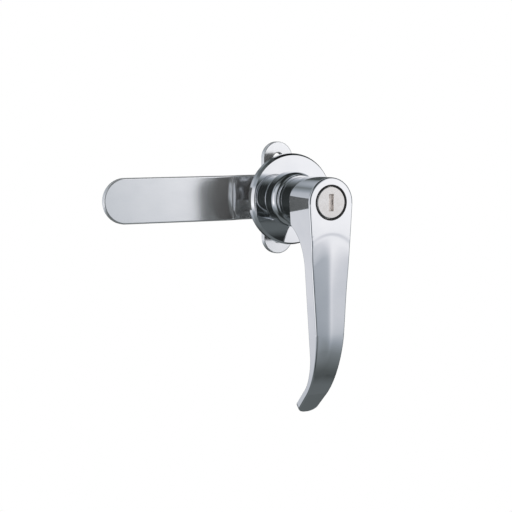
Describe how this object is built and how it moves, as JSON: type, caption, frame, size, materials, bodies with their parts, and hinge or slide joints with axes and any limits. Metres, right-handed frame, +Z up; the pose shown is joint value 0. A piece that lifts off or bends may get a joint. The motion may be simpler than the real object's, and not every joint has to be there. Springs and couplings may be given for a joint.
{
  "type": "l-handle cabinet lock",
  "caption": "Chromed quarter-turn L-handle for a cabinet door, with a key cylinder in the head, a round flange, an eared mounting plate and a cranked tongue.",
  "frame": {"origin": "on the turning axis, in the plane of the door's outer face, where the gasket seats", "axes": "+X right and +Z up as seen from the front of the door, +Y back through the door"},
  "size_m": [0.11, 0.0756, 0.1295],
  "materials": {
    "chrome_casting": "polished",
    "plated_steel": "polished",
    "zinc_steel": "satin",
    "spring_steel": "satin",
    "satin_nickel": "satin",
    "cylinder_brass": "machined",
    "black_rubber": "matt"
  },
  "bodies": {
    "base": {"flange_base": "chrome_casting", "flange_gasket": "black_rubber", "mounting_plate": "plated_steel", "lock_washer": "spring_steel", "barrel_nut": "zinc_steel"},
    "handle": {"handle": "chrome_casting", "neck_seal": "black_rubber", "spindle": "zinc_steel", "spindle_pin": "spring_steel", "thrust_washer": "spring_steel", "retaining_ring": "spring_steel", "tongue": "plated_steel", "cam_washer": "zinc_steel", "cam_spring_washer": "spring_steel", "cam_nut": "zinc_steel", "cylinder_shell": "cylinder_brass", "cap_seal": "black_rubber", "cylinder_pin": "spring_steel"},
    "plug": {"plug_cap": "satin_nickel", "key_plug": "cylinder_brass", "plug_clip": "spring_steel", "wafer_tumblers": "cylinder_brass", "wafer_springs": "spring_steel", "tail_driver": "zinc_steel", "shutter_pin": "spring_steel", "shutter_spring": "spring_steel"},
    "shutter": {"key_shutter": "satin_nickel"},
    "bolt": {"lock_bolt": "zinc_steel"}
  },
  "joints": [
    {"name": "handle_turn", "type": "hinge", "parent": "base", "child": "handle", "pos_m": [0, 0, 0], "axis": [0, -1, 0], "range_deg": [0, 90]},
    {"name": "key_turn", "type": "hinge", "parent": "handle", "child": "plug", "pos_m": [0, 0, 0], "axis": [0, 1, 0], "range_deg": [0, 90]},
    {"name": "bolt_throw", "type": "slide", "parent": "handle", "child": "bolt", "axis": [0, 0, 1], "range_m": [0, 0.00311]},
    {"name": "shutter_swing", "type": "hinge", "parent": "plug", "child": "shutter", "pos_m": [0.00215, -0.03935, 0], "axis": [0, 0, -1], "range_deg": [0, 80], "stiffness_Nm_per_rad": 0.0001, "springref_deg": -17.19}
  ],
  "couplings": [
    {"joint": "key_turn", "follows": "bolt_throw", "rad_per_m": 504.87}
  ]
}
